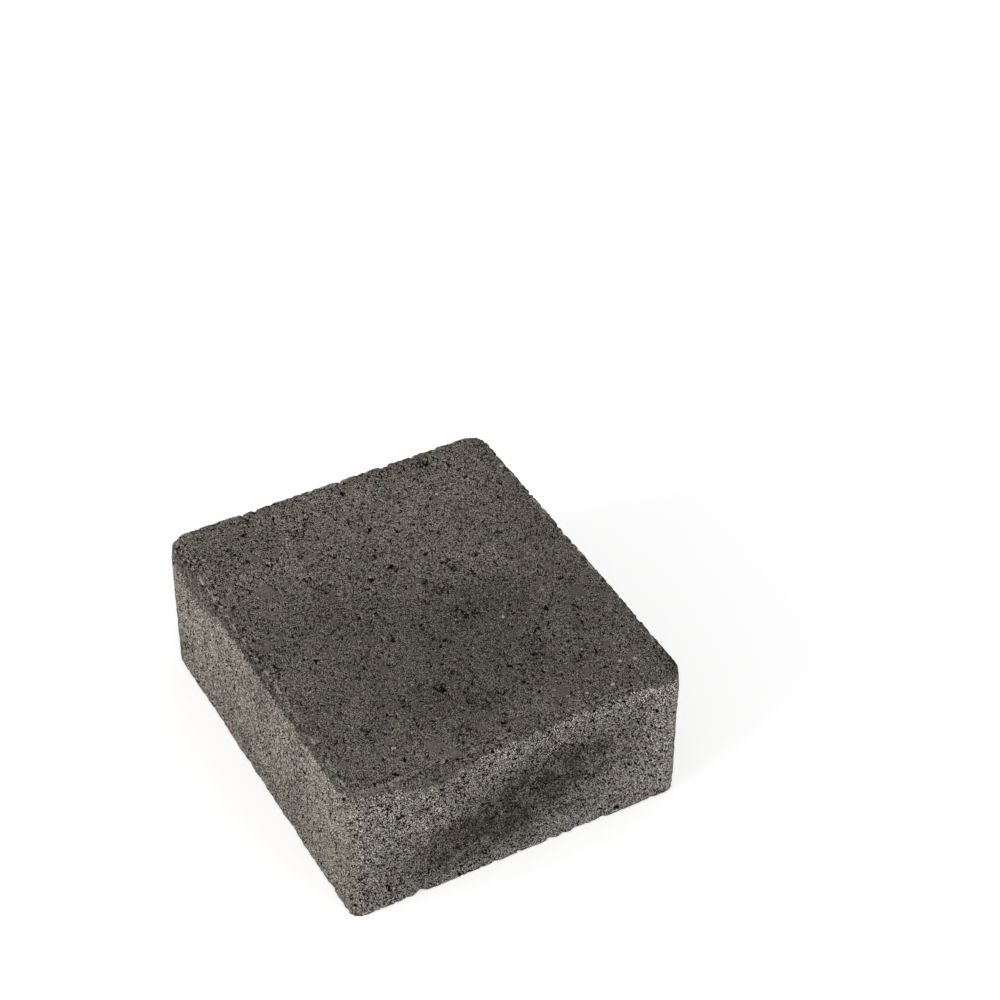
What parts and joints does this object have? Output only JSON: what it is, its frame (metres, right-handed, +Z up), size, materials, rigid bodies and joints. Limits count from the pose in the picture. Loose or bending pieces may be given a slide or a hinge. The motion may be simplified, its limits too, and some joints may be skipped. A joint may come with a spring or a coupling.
{
  "type": "concrete paver",
  "caption": "Oblong charcoal concrete paving block with rounded upright corners and an uneven worn top arris and a crumbled bed edge, laid on a sand bed.",
  "frame": {"origin": "middle of the bed face, on the floor that the paver lies on", "axes": "+X along the length, +Y across the width, +Z up from the bed face to the wearing face"},
  "size_m": [0.2, 0.175, 0.08],
  "materials": {
    "concrete": "matte pressed concrete, charcoal through its whole depth, open sandy texture with fine pits"
  },
  "bodies": {
    "root": {"paver": "concrete"}
  },
  "joints": []
}
